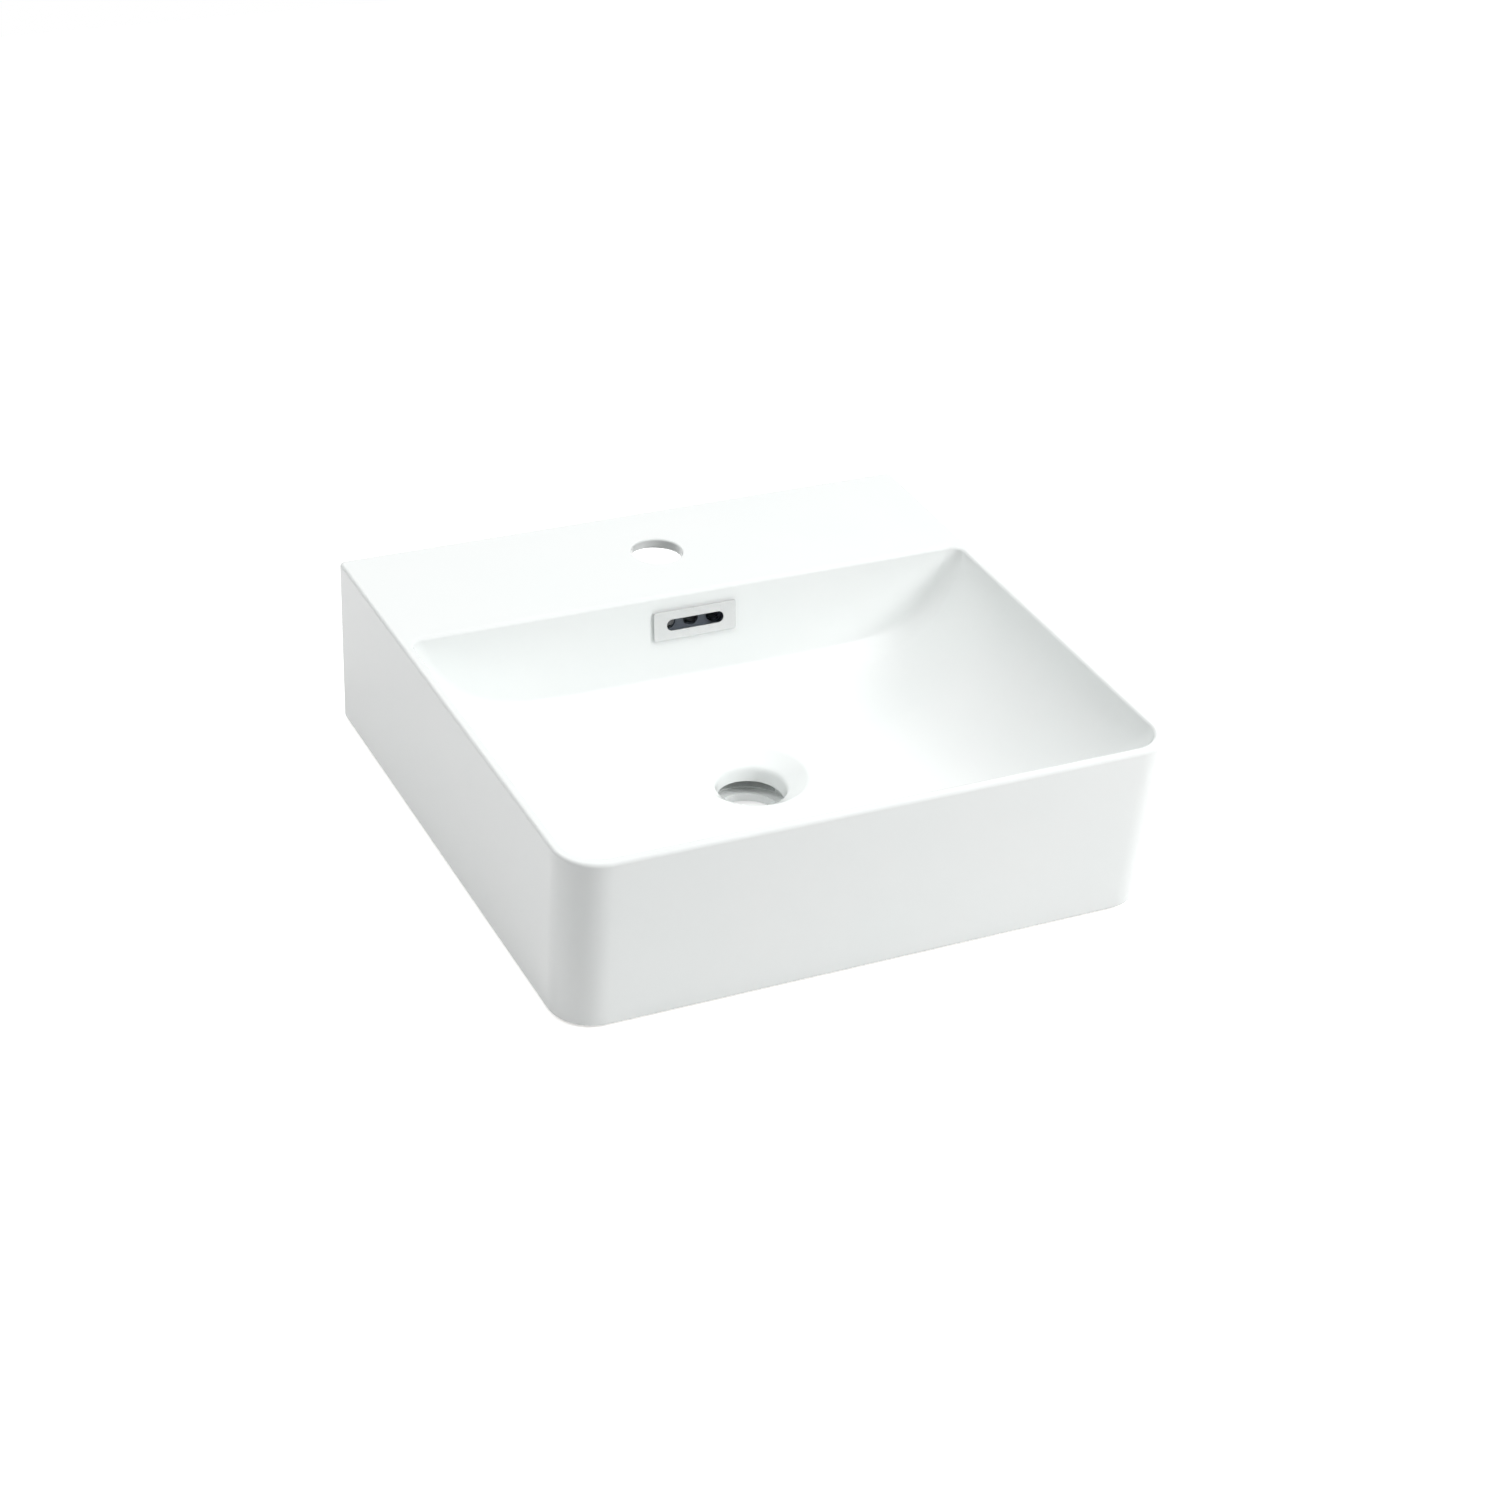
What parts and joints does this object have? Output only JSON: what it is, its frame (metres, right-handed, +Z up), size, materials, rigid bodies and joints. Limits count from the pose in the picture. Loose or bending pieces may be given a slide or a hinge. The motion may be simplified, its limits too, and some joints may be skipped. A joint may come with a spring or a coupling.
{
  "type": "washbasin",
  "caption": "Slim-rimmed rectangular ceramic washbasin with a flat tap deck, a soft-bottomed bowl, a round waste hole and a slotted chrome overflow cover.",
  "frame": {"origin": "on the plane of the basin's foot, under the middle of its outline", "axes": "+X to the right of someone standing at the basin, +Y towards the wall behind it, +Z up"},
  "size_m": [0.4198, 0.3999, 0.122],
  "materials": {
    "ceramic": "gloss glaze",
    "chrome": "polished",
    "carrier_plastic": "satin",
    "seal_rubber": "soft"
  },
  "bodies": {
    "root": {"basin_body": "ceramic", "overflow_cover": "chrome", "overflow_carrier": "carrier_plastic", "overflow_seal": "seal_rubber"}
  },
  "joints": []
}
